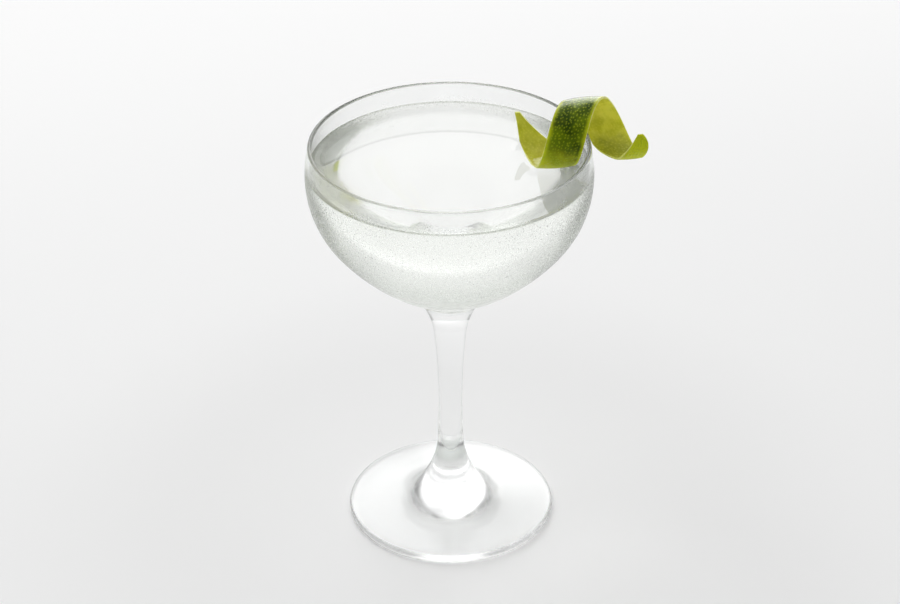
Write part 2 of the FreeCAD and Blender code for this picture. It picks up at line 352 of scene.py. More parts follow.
@dataclass(frozen=True)
class CoupeOutline:
    """Lays out the glass's half section as a chain of arcs that run smoothly into each other.

    Attributes:
        sizes: The sizes of the glass.
        spacing: The distance between points along the outline.
    """

    sizes: CoupeSizes
    spacing: float = 0.9

    def bowl_arcs(self, offset: float) -> tuple[Arc, Arc, Arc]:
        """The floor, side and upper arcs of the bowl, moved in by an offset, from the bottom up.

        Args:
            offset: 0 for the outside of the wall, the wall's thickness for its inside.

        Returns:
            The three arcs; the floor arc starts at the stem's joint or at the inside's heel.
        """
        s = self.sizes
        start = self.joint_angle() if offset == 0 else self.heel_angle(offset)
        floor = Arc(s.floor_centre, s.floor_arc - offset, start, -s.turn)
        side = Arc(s.side_centre, s.side_arc - offset, -s.turn, 0.0)
        upper = Arc(s.upper_centre, s.upper_arc - offset, 0.0, s.rim_angle)
        return floor, side, upper

    def heel_centre(self, offset: float) -> np.ndarray:
        """The centre, on the axis, of the arc that rounds the inside's lowest part.

        Args:
            offset: How far the inside lies within the outer surface.

        Returns:
            The centre's radius and height.
        """
        s = self.sizes
        between = s.floor_arc - offset - s.heel_arc
        drop = math.sqrt(between**2 - s.floor_centre[0] ** 2)
        return np.array([0.0, s.floor_centre[1] - drop])

    def heel_angle(self, offset: float) -> float:
        """The angle at which the heel's arc meets the floor arc."""
        return bearing(self.sizes.floor_centre, self.heel_centre(offset))

    def stem_arc(self) -> Arc:
        """The long arc of the stem, from where the flare starts down to the base's flare."""
        s = self.sizes
        rise = s.height - s.flare_below_rim - s.waist_height
        swell = s.flare_radius - s.waist_radius
        radius = (rise**2 + swell**2) / (2 * swell)
        centre = np.array([s.waist_radius + radius, s.waist_height])
        top = math.pi - math.asin(rise / radius)
        foot = math.pi + math.asin((s.waist_height - s.base_flare_height) / radius)
        return Arc(centre, radius, top, foot)

    def flare_centre(self) -> np.ndarray:
        """The centre of the flare below the bowl."""
        stem = self.stem_arc()
        return polar(stem.centre, stem.radius - self.sizes.flare_arc, stem.start)

    def joint_centre(self) -> np.ndarray:
        """The centre of the small arc that joins the flare to the bowl."""
        s = self.sizes
        flare = self.flare_centre()
        near = s.flare_arc - s.joint_arc
        far = s.floor_arc + s.joint_arc
        between = s.floor_centre - flare
        span = float(np.linalg.norm(between))
        along = (near**2 - far**2 + span**2) / (2 * span)
        off = math.sqrt(near**2 - along**2)
        unit = between / span
        return flare + unit * along + np.array([-unit[1], unit[0]]) * off

    def joint_angle(self) -> float:
        """The angle on the floor arc at which the joint's arc meets it."""
        return bearing(self.sizes.floor_centre, self.joint_centre())

    def foot_chain(self) -> list[np.ndarray]:
        """The outline from the underside's middle up to the bowl, as runs of points."""
        s = self.sizes
        stem = self.stem_arc()
        base_centre = polar(stem.centre, stem.radius - s.base_flare_arc, stem.end)
        slope = math.radians(s.foot_slope)
        edge_centre = np.array([s.foot_radius - s.foot_edge, s.foot_edge])
        slope_start = polar(edge_centre, s.foot_edge, math.pi / 2 - slope)
        downhill = np.array([math.cos(slope), -math.sin(slope)])
        uphill = np.array([math.sin(slope), math.cos(slope)])
        line = slope_start + uphill * s.base_fillet_arc
        off = float((base_centre - line) @ uphill)
        half = math.sqrt((s.base_flare_arc - s.base_fillet_arc) ** 2 - off**2)
        fillet_centre = line + downhill * (float((base_centre - line) @ downhill) - half)
        fillet_end = bearing(base_centre, fillet_centre) % (2 * math.pi)
        slope_angle = 3 * math.pi / 2 - slope
        ring_start = edge_centre[0] - s.ring_width
        hollow_radius = (ring_start**2 + s.foot_hollow**2) / (2 * s.foot_hollow)
        hollow_centre = np.array([0.0, s.foot_hollow - hollow_radius])
        hollow_end = bearing(hollow_centre, np.array([ring_start, 0.0]))
        flare = self.flare_centre()
        joint = self.joint_centre()
        flare_end = bearing(flare, joint)
        edge = Arc(edge_centre, s.foot_edge, -math.pi / 2, math.pi / 2 - slope)
        join = Arc(joint, s.joint_arc, flare_end, self.joint_angle() + math.pi)
        return [
            Arc(hollow_centre, hollow_radius, math.pi / 2, hollow_end).points(self.spacing * 2),
            np.array([[edge_centre[0], 0.0]]),
            edge.points(self.spacing / 3),
            Arc(fillet_centre, s.base_fillet_arc, slope_angle, fillet_end).points(self.spacing),
            Arc(base_centre, s.base_flare_arc, fillet_end, stem.end).points(self.spacing),
            Arc(stem.centre, stem.radius, stem.end, stem.start).points(self.spacing),
            Arc(flare, s.flare_arc, stem.start, flare_end).points(self.spacing),
            join.points(self.spacing / 2),
        ]

    def inside_chain(self, offset: float, height: float) -> np.ndarray:
        """The inside from a height down to the axis.

        Args:
            offset: How far the curve lies inside the outer surface.
            height: Where the chain starts.

        Returns:
            Rows of radius and height, from the given height down to the axis.
        """
        s = self.sizes
        floor, side, upper = self.bowl_arcs(offset)
        start = math.asin((height - s.upper_centre[1]) / upper.radius)
        heel = Arc(self.heel_centre(offset), s.heel_arc, self.heel_angle(offset), -math.pi / 2)
        runs = [
            Arc(upper.centre, upper.radius, start, 0.0).points(self.spacing),
            Arc(side.centre, side.radius, 0.0, -s.turn).points(self.spacing),
            Arc(floor.centre, floor.radius, -s.turn, floor.start).points(self.spacing),
            heel.points(self.spacing),
        ]
        return clean_chain(runs)

    def glass(self, contact: float) -> np.ndarray:
        """The whole closed half section, from the underside's middle round to the inside's middle.

        Args:
            contact: The height up to which the drink wets the inside, where a point is kept.

        Returns:
            Rows of radius and height.
        """
        s = self.sizes
        floor, side, upper = self.bowl_arcs(0.0)
        bead_centre = polar(s.upper_centre, s.upper_arc - s.wall / 2, s.rim_angle)
        bead = Arc(bead_centre, s.wall / 2, s.rim_angle, s.rim_angle + math.pi)
        runs = self.foot_chain()
        runs += [arc.points(self.spacing) for arc in (floor, side, upper)]
        runs.append(bead.points(s.wall / 10))
        start = math.asin((contact - s.upper_centre[1]) / (s.upper_arc - s.wall))
        dry = Arc(s.upper_centre, s.upper_arc - s.wall, s.rim_angle, start)
        runs.append(dry.points(self.spacing))
        runs.append(self.inside_chain(s.wall, contact))
        return clean_chain(runs)


def clean_chain(runs: list[np.ndarray]) -> np.ndarray:
    """Join runs of points into one chain and drop points that repeat.

    Args:
        runs: The runs, in order.

    Returns:
        The chain.
    """
    chain = np.vstack(runs)
    step = np.linalg.norm(np.diff(chain, axis=0), axis=1)
    keep = np.concatenate([[True], step > 1e-4])
    return chain[keep]


# ---------------------------------------------------------------- finishes


class NodeTree:
    """A small helper that adds shader nodes and links them."""

    def __init__(self, tree: bpy.types.NodeTree) -> None:
        """Start with an empty tree."""
        self.tree = tree
        tree.nodes.clear()

    def add(self, kind: str, **settings: object) -> bpy.types.Node:
        """Add a node.

        Args:
            kind: The node's type name, without the ShaderNode prefix.
            **settings: Properties of the node.

        Returns:
            The node.
        """
        node = self.tree.nodes.new("ShaderNode" + kind)
        for key, value in settings.items():
            setattr(node, key, value)
        return node

    def put(self, node: bpy.types.Node, **values: object) -> bpy.types.Node:
        """Set a node's inputs by name; underscores in the name stand for spaces."""
        for key, value in values.items():
            node.inputs[key.replace("_", " ")].default_value = value
        return node

    def link(self, source: bpy.types.NodeSocket, target: bpy.types.NodeSocket) -> None:
        """Link two sockets."""
        self.tree.links.new(source, target)

    def place(self) -> Socket:
        """The place on the object, in metres."""
        return self.add("TexCoord").outputs["Object"]

    def strip_map(self) -> Socket:
        """The distances along and across the strip of peel, in millimetres."""
        return self.add("UVMap", uv_map="surface").outputs["UV"]

    def split(self, vector: Socket) -> tuple[Socket, Socket, Socket]:
        """Take a vector apart.

        Args:
            vector: The vector.

        Returns:
            Its three parts.
        """
        parts = self.add("SeparateXYZ")
        self.link(vector, parts.inputs[0])
        return parts.outputs[0], parts.outputs[1], parts.outputs[2]

    def dot(self, vector: Socket, direction: Vector | tuple[float, float, float]) -> Socket:
        """Measure a vector along a direction.

        Args:
            vector: The vector.
            direction: The fixed direction.

        Returns:
            The length along it.
        """
        product = self.add("VectorMath", operation="DOT_PRODUCT")
        self.link(vector, product.inputs[0])
        product.inputs[1].default_value = direction
        return product.outputs["Value"]

    def noise(self, vector: Socket, scale: float, detail: float) -> Socket:
        """Add a noise texture.

        Args:
            vector: Its coordinates.
            scale: How many waves there are to a unit of them.
            detail: How many finer layers it has.

        Returns:
            Its value, around one half.
        """
        node = self.put(self.add("TexNoise"), Scale=scale, Detail=detail)
        self.link(vector, node.inputs["Vector"])
        return node.outputs["Fac"]

    def cells(self, vector: Socket, scale: float, randomness: float) -> Socket:
        """Add a pattern of cells.

        Args:
            vector: Its coordinates.
            scale: How many cells there are to a unit of them.
            randomness: How unevenly they lie.

        Returns:
            The distance from each cell's middle.
        """
        node = self.put(
            self.add("TexVoronoi", voronoi_dimensions="2D"), Scale=scale, Randomness=randomness
        )
        self.link(vector, node.inputs["Vector"])
        return node.outputs["Distance"]

    def remap(
        self, value: Socket, low: float, high: float, start: float = 0.0, end: float = 1.0
    ) -> Socket:
        """Ease a value from one range to another.

        Args:
            value: The value.
            low: Where its range starts.
            high: Where its range ends.
            start: The result below the range.
            end: The result above it.

        Returns:
            The result.
        """
        node = self.add("MapRange", interpolation_type="SMOOTHSTEP")
        self.link(value, node.inputs["Value"])
        limits = {"From Min": low, "From Max": high, "To Min": start, "To Max": end}
        for name, number in limits.items():
            node.inputs[name].default_value = number
        return node.outputs["Result"]

    def band(self, value: Socket, rise: tuple[float, float], fall: tuple[float, float]) -> Socket:
        """Ease up over one range and down over another.

        Args:
            value: The value.
            rise: The range over which the result goes from 0 to 1.
            fall: The range over which it goes back to 0.

        Returns:
            The result.
        """
        return self.math("MULTIPLY", self.remap(value, *rise), self.remap(value, *fall, 1.0, 0.0))

    def math(self, operation: str, first: Socket | float, second: Socket | float = 0.0) -> Socket:
        """Combine two values.

        Args:
            operation: The name of the operation.
            first: The first value.
            second: The second value, which some operations ignore.

        Returns:
            The result.
        """
        node = self.add("Math", operation=operation)
        for number, value in enumerate((first, second)):
            self.set_or_link(node.inputs[number], value)
        return node.outputs[0]

    def centred(self, value: Socket, size: float) -> Socket:
        """Turn a value around one half into a swing of a given size around zero."""
        return self.math("MULTIPLY", self.math("SUBTRACT", value, 0.5), size)

    def blend(self, share: Socket, first: Socket, second: Socket | float) -> Socket:
        """Go from one value to another.

        Args:
            share: How much of the second value there is.
            first: The first value.
            second: The second value.

        Returns:
            The result.
        """
        node = self.add("Mix", data_type="FLOAT")
        for number, value in ((0, share), (2, first), (3, second)):
            self.set_or_link(node.inputs[number], value)
        return node.outputs[0]

    def mix(self, share: Socket, first: Colour, second: Colour) -> Socket:
        """Mix two colours.

        Args:
            share: How much of the second colour there is.
            first: The first colour.
            second: The second colour.

        Returns:
            The mixed colour.
        """
        node = self.add("Mix", data_type="RGBA")
        for number, value in ((0, share), (6, first), (7, second)):
            self.set_or_link(node.inputs[number], value)
        return node.outputs[2]

    def set_or_link(self, target: Socket, value: Colour | float) -> None:
        """Feed an input from a socket, a plain colour or a number.

        Args:
            target: The input.
            value: What feeds it.
        """
        if isinstance(value, bpy.types.NodeSocket):
            self.link(value, target)
        elif isinstance(value, tuple):
            target.default_value = (*value, 1.0)
        else:
            target.default_value = value

    def bump(self, height: Socket, depth: float) -> Socket:
        """Turn a relief into a bent normal.

        Args:
            height: The relief, from 0 to 1.
            depth: Its depth in millimetres.

        Returns:
            The normal.
        """
        node = self.put(self.add("Bump"), Strength=1.0, Distance=depth * MILLIMETRE)
        self.link(height, node.inputs["Height"])
        return node.outputs["Normal"]


def new_material(name: str) -> tuple[bpy.types.Material, NodeTree, bpy.types.Node]:
    """Start a material with one surface shader.

    Args:
        name: The material's name.

    Returns:
        The material, its node helper and its surface shader.
    """
    material = bpy.data.materials.new(name)
    material.use_nodes = True
    tree = NodeTree(material.node_tree)
    shader = tree.add("BsdfPrincipled")
    tree.link(shader.outputs["BSDF"], tree.add("OutputMaterial").inputs["Surface"])
    return material, tree, shader


@dataclass(frozen=True)
class ClearFinish:
    """A clear, polished material: glass, water or the drink.

    Attributes:
        name: The material's name.
        tint: The colour that its surface lets through.
        bend: The index of refraction.
    """

    name: str
    tint: Tint
    bend: float

    def build(self) -> bpy.types.Material:
        """Make the material."""
        material, tree, shader = new_material(self.name)
        tree.put(shader, Base_Color=(*self.tint, 1.0), Roughness=0.0, IOR=self.bend)
        tree.put(shader, Transmission_Weight=1.0)
        return material


@dataclass(frozen=True)
class ThickGlassFinish:
    """The solid glass of the stem and the foot, with painted shade at its edges and in a ring at
    the foot of the stem, and not quite even.

    Attributes:
        name: The material's name.
        face: The tint where it is seen face on.
        edge: The painted shade where it is seen edge on.
        band: The painted shade of the greyer ring at the foot of the stem.
        painted_shade_facing: Where the tint goes over to the edge's painted shade, from face on at
            0 to edge on at 1.
        painted_ring_rise: The heights in metres over which the ring of painted shade starts.
        painted_ring_fall: The heights in metres over which it ends.
        foot_blur: How much the foot softens what is seen through it.
        foot_heights: The heights in metres over which that softness ends.
        bend: The index of refraction.
        unevenness: The depth in millimetres of its faint waves.
        waves: How many waves there are to a metre.
    """

    name: str
    face: Tint = (0.975, 0.98, 0.978)
    # Painted shade: the edge-on tint and the ring's tint darken the glass seen edge on and just
    # above the foot.
    edge: Tint = (0.50, 0.53, 0.51)
    band: Tint = (0.62, 0.66, 0.63)
    painted_shade_facing: tuple[float, float] = (0.55, 1.0)
    painted_ring_rise: tuple[float, float] = (0.0215, 0.0235)
    painted_ring_fall: tuple[float, float] = (0.0260, 0.0285)
    foot_blur: float = 0.16
    foot_heights: tuple[float, float] = (0.014, 0.030)
    bend: float = GLASS_BEND
    unevenness: float = 0.10
    waves: float = 70.0

    def build(self) -> bpy.types.Material:
        """Make the material."""
        material, tree, shader = new_material(self.name)
        tree.put(shader, IOR=self.bend, Transmission_Weight=1.0)
        turned = tree.put(tree.add("LayerWeight"), Blend=0.5).outputs["Facing"]
        place = tree.place()
        height = tree.split(place)[2]
        # Painted shade: a greyer ring above the foot, and a darker tint where the glass is seen
        # edge on.
        face = tree.mix(tree.band(height, self.painted_ring_rise, self.painted_ring_fall), self.face, self.band)
        tint = tree.mix(tree.remap(turned, *self.painted_shade_facing), face, self.edge)
        tree.link(tint, shader.inputs["Base Color"])
        blur = tree.remap(height, *self.foot_heights, self.foot_blur, 0.0)
        tree.link(blur, shader.inputs["Roughness"])
        wave = tree.noise(place, self.waves, 1.5)
        tree.link(tree.bump(wave, self.unevenness), shader.inputs["Normal"])
        return material


@dataclass(frozen=True)
class MistedFinish:
    """The bowl's outside where cold has misted it: clear glass under a fine, uneven dew, with
    painted shade where it is seen edge on.

    Attributes:
        glass: The clear finish beneath the mist.
        low: The height in metres where the mist starts.
        high: The height in metres where it ends.
        fade: How far in metres it takes to fade in or out.
        haze: The roughness of the thickest mist.
        grain: The depth of the dew's relief in millimetres.
        grain_scale: How many grains there are to a metre.
        wander: How far in metres the mist's limits wander.
        cloud_scale: How many of those wanderings there are to a metre.
        beads: The range of the grain over which haze gathers into beads.
        far_rise: How much higher in metres the mist starts on the far side, which dries first.
        far_depth: How far back in metres that far side lies.
        edge: The painted shade where the glass is seen edge on.
        painted_shade_facing: Where the tint goes over to that painted shade, from face on at 0 to
            edge on at 1.
    """

    glass: ClearFinish
    low: float = 0.092
    high: float = 0.1402
    fade: float = 0.010
    haze: float = 0.30
    grain: float = 0.035
    grain_scale: float = 1700.0
    wander: float = 0.012
    cloud_scale: float = 90.0
    beads: tuple[float, float] = (0.40, 0.60)
    far_rise: float = 0.028
    far_depth: float = 0.030
    # Painted shade: the bowl's glass darkens to grey-green where it is seen edge on.
    edge: Tint = (0.64, 0.68, 0.63)
    painted_shade_facing: tuple[float, float] = (0.35, 0.92)

    def build(self) -> bpy.types.Material:
        """Make the material."""
        material, tree, shader = new_material(self.glass.name + "_misted")
        tree.put(shader, IOR=self.glass.bend, Transmission_Weight=1.0)
        # Painted shade: the tint darkens towards the edge-on parts of the bowl.
        turned = tree.put(tree.add("LayerWeight"), Blend=0.5).outputs["Facing"]
        tint = tree.mix(tree.remap(turned, *self.painted_shade_facing), self.glass.tint, self.edge)
        tree.link(tint, shader.inputs["Base Color"])
        place = tree.place()
        _, depth, height = tree.split(place)
        cloud = tree.noise(place, self.cloud_scale, 2.0)
        shifted = tree.math("ADD", height, tree.centred(cloud, self.wander))
        far = tree.remap(depth, 0.0, self.far_depth, 0.0, self.far_rise)
        start = tree.math("SUBTRACT", shifted, far)
        rising = tree.remap(start, self.low, self.low + 2 * self.fade)
        falling = tree.remap(shifted, self.high, self.high + self.fade / 2, 1.0, 0.0)
        band = tree.math("MULTIPLY", rising, falling)
        fine = tree.noise(place, self.grain_scale, 2.0)
        share = tree.math("MULTIPLY", band, tree.remap(fine, *self.beads, 0.55, 1.0))
        tree.link(tree.math("MULTIPLY", share, self.haze), shader.inputs["Roughness"])
        relief = tree.math("MULTIPLY", band, fine)
        tree.link(tree.bump(relief, self.grain), shader.inputs["Normal"])
        return material


@dataclass(frozen=True)
class ZestFinish:
    """The green outside of the peel, waxy, with small pale oil pores and painted light on its first
    stretch.

    Attributes:
        deep: The darkest green.
        bright: The green where light gets into the peel.
        yellow: The yellow-green of the cut edges, of the pale tip and of the painted light on the
            first stretch.
        pore: The colour of the pores.
        pores: How many pores there are to a millimetre.
        painted_light_until: How far along the strip, in millimetres, its first stretch, paled by
            painted light, goes.
        pale_from: Where its last pale stretch, at the tip, starts.
        wet_from: Where the wet, shiny stretch at the top starts.
        wet_until: Where the wet stretch ends.
        patches: How many lighter and darker patches there are to a metre.
        wander: How far in millimetres the stretches' limits wander.
        slant: How much that painted light slants across the strip.
        edge_band: The distances from the middle over which the cut edges turn yellow.
        relief: The depth in millimetres of the pores.
    """

    deep: Tint = (0.036, 0.070, 0.001)
    bright: Tint = (0.170, 0.245, 0.002)
    yellow: Tint = (0.560, 0.600, 0.014)
    pore: Tint = (0.400, 0.480, 0.020)
    pores: float = 0.95
    painted_light_until: float = 31.0
    pale_from: float = 88.0
    wet_from: float = 50.0
    wet_until: float = 63.0
    patches: float = 160.0
    wander: float = 22.0
    slant: float = -0.9
    edge_band: tuple[float, float] = (5.6, 7.4)
    relief: float = 0.10

    def build(self) -> bpy.types.Material:
        """Make the material."""
        material, tree, shader = new_material("lime_zest")
        spot, place = tree.strip_map(), tree.place()
        patch = tree.noise(place, self.patches, 3.0)
        near = tree.cells(spot, self.pores, 0.85)
        along, across, _ = tree.split(spot)
        moved = tree.math("ADD", along, tree.centred(patch, self.wander))
        ground = self.ground(tree, patch, moved, across)
        dot = tree.remap(near, 0.14, 0.34, 1.0, 0.0)
        strength = tree.math("MULTIPLY", dot, tree.remap(patch, 0.3, 0.7, 0.45, 0.8))
        tree.link(tree.mix(strength, ground, self.pore), shader.inputs["Base Color"])
        wax = tree.math("MULTIPLY", tree.noise(place, 2400.0, 2.0), 0.25)
        relief = tree.math("ADD", tree.remap(near, 0.05, 0.50), wax)
        tree.link(tree.bump(relief, self.relief), shader.inputs["Normal"])
        tree.link(tree.remap(patch, 0.3, 0.7, 0.34, 0.46), shader.inputs["Roughness"])
        rise = (self.wet_from - 3, self.wet_from + 3)
        fall = (self.wet_until - 3, self.wet_until + 3)
        tree.link(tree.band(moved, rise, fall), shader.inputs["Coat Weight"])
        tree.put(shader, Coat_Roughness=0.10, Coat_IOR=1.5, Specular_IOR_Level=0.08)
        tree.put(shader, Subsurface_Weight=0.35, Subsurface_Scale=0.0025)
        tree.put(shader, Subsurface_Radius=(0.8, 1.0, 0.05))
        return material

    def ground(self, tree: NodeTree, patch: Socket, moved: Socket, across: Socket) -> Socket:
        """Colour the zest between its pores, with painted light on its first stretch.

        Args:
            tree: The material's nodes.
            patch: The patchiness.
            moved: The distance along the strip, made uneven.
            across: The distance across it.

        Returns:
            The colour.
        """
        green = tree.mix(tree.remap(patch, 0.35, 0.70), self.deep, self.bright)
        # Painted light: the first stretch turns pale yellow-green, reaching further along on its
        # left side.
        leftward = tree.math("SUBTRACT", moved, tree.math("MULTIPLY", across, self.slant))
        start = tree.remap(leftward, self.painted_light_until - 8, self.painted_light_until + 8, 0.85, 0.0)
        end = tree.remap(moved, self.pale_from - 4, self.pale_from + 6, 0.0, 0.95)
        green = tree.mix(tree.math("ADD", start, end), green, self.yellow)
        side = tree.math("ADD", tree.math("ABSOLUTE", across), tree.math("MULTIPLY", patch, 1.5))
        return tree.mix(tree.remap(side, *self.edge_band), green, self.yellow)


@dataclass(frozen=True)
class PithFinish:
    """The pale inside of the peel or its cut edge.

    Attributes:
        name: The material's name.
        light: The lighter of its two colours.
        dark: The darker of its two colours.
        shade: The colour of its least lit stretches.
        lit_from: Where along the strip, in millimetres, its brightest stretch starts.
        lit_until: Where that stretch ends.
        glow: How much light passes through the peel.
        patches: How many lighter and darker patches there are to a metre.
        wander: How far in millimetres the stretches' limits wander.
        relief: The depth in millimetres of its roughness.
    """

    name: str
    light: Tint
    dark: Tint
    shade: Tint
    lit_from: float = 54.0
    lit_until: float = 72.0
    glow: float = 0.55
    patches: float = 260.0
    wander: float = 14.0
    relief: float = 0.07

    def build(self) -> bpy.types.Material:
        """Make the material."""
        material, tree, shader = new_material(self.name)
        spot, place = tree.strip_map(), tree.place()
        stretch = tree.add("Mapping")
        tree.link(spot, stretch.inputs["Vector"])
        stretch.inputs["Scale"].default_value = (0.16, 0.50, 1.0)
        fibre = tree.noise(stretch.outputs["Vector"], 2.2, 4.0)
        patch = tree.noise(place, self.patches, 4.0)
        fibres = tree.math("MULTIPLY", fibre, 0.25)
        both = tree.math("ADD", fibres, tree.math("MULTIPLY", patch, 0.75))
        colour = tree.mix(tree.remap(both, 0.36, 0.64), self.dark, self.light)
        moved = tree.math("ADD", tree.split(spot)[0], tree.centred(patch, self.wander))
        after = tree.remap(moved, self.lit_until, self.lit_until + 9)
        ahead = tree.remap(moved, self.lit_from - 16, self.lit_from, 0.45, 0.0)
        colour = tree.mix(tree.math("ADD", after, ahead), colour, self.shade)
        spots = tree.remap(tree.cells(spot, 0.85, 0.9), 0.1, 0.4, 1.0, 0.0)
        colour = tree.mix(tree.math("MULTIPLY", spots, 0.28), colour, self.light)
        tree.link(colour, shader.inputs["Base Color"])
        relief = tree.math("ADD", tree.noise(place, 1400.0, 3.0), tree.math("MULTIPLY", fibre, 0.8))
        tree.link(tree.bump(relief, self.relief), shader.inputs["Normal"])
        tree.link(tree.remap(patch, 0.3, 0.7, 0.42, 0.60), shader.inputs["Roughness"])
        tree.put(shader, Specular_IOR_Level=0.2, Subsurface_Weight=self.glow)
        tree.put(shader, Subsurface_Scale=0.003, Subsurface_Radius=(0.9, 1.0, 0.1))
        return material


# ---------------------------------------------------------------- the peel


@dataclass(frozen=True)
class PeelSizes:
    """The sizes of the strip of peel, in millimetres and degrees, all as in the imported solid.

    Attributes:
        strip_width: Its full width.
        strip_thick: Its thickness in the middle.
        strip_edge_thick: Its thickness at its edges.
        strip_crown: How far its middle bulges out.
        helix_radius: The radius of its first turn.
        helix_closing: How much the radius shrinks a turn.
        helix_gap: The gap between two turns.
        helix_back: How far behind the glass's middle the helix lies.
        helix_above_rim: How high its axis is above the rim.
        helix_rise: How steeply that axis rises.
        helix_yaw: How far it turns towards the front.
        hook_angle: Where on the helix the rim passes between the turns.
        hook_clear: How far the strip keeps from the rim.
        tail_angle: Where the tail starts.
        tail_left_cut: The angle that the cut takes on the tail's left edge.
        tail_right_cut: The angle that it takes on the right edge.
        tail_point_inset: How far from the left edge the tail's point lies.
        narrow_angle: Where the strip starts to narrow.
        narrow_turn: The angle over which it narrows.
        tip_left_narrowing: How much the left edge moves in.
        tip_right_narrowing: How much the right edge moves in.
        tip_cut: The angle that the tip's cut takes.
        tip_point_inset: How far from the right edge the tip's point lies.
        tip_angle: Where the tip ends.
        point_width: The width of the flat at each point.
        tail_rounding: How rounded the tail's cut is.
        tip_rounding: How rounded the tip's cut is.
        top_angle: The angle of the first turn's top.
        rows: The number of rows of points along the strip.
        columns: The number of points across each face.
        sides: The number of steps round each edge.
        edge_bow: How far each edge bows out.
    """

    strip_width: float = 13.0
    strip_thick: float = 1.2
    strip_edge_thick: float = 0.8
    strip_crown: float = 0.5
    helix_radius: float = 10.2
    helix_closing: float = 0.7
    helix_gap: float = 10.6
    helix_back: float = 4.4
    helix_above_rim: float = 2.3
    helix_rise: float = 6.5
    helix_yaw: float = -3.0
    hook_angle: float = 466.0
    hook_clear: float = 0.35
    tail_angle: float = 71.0
    tail_left_cut: float = 55.0
    tail_right_cut: float = 78.0
    tail_point_inset: float = 3.0
    narrow_angle: float = 500.0
    narrow_turn: float = 65.0
    tip_left_narrowing: float = 4.4
    tip_right_narrowing: float = 1.0
    tip_cut: float = 52.0
    tip_point_inset: float = 3.6
    tip_angle: float = 642.0
    point_width: float = 1.6
    tail_rounding: float = 1.7
    tip_rounding: float = 3.0
    top_angle: float = FULL_TURN
    rows: int = 420
    columns: int = 44
    sides: int = 4
    edge_bow: float = 0.12


def ease(value: np.ndarray | float) -> np.ndarray:
    """A share eased at both ends.

    Args:
        value: The share, kept between 0 and 1.

    Returns:
        The eased share.
    """
    share = np.clip(value, 0.0, 1.0)
    return share * share * (3 - 2 * share)


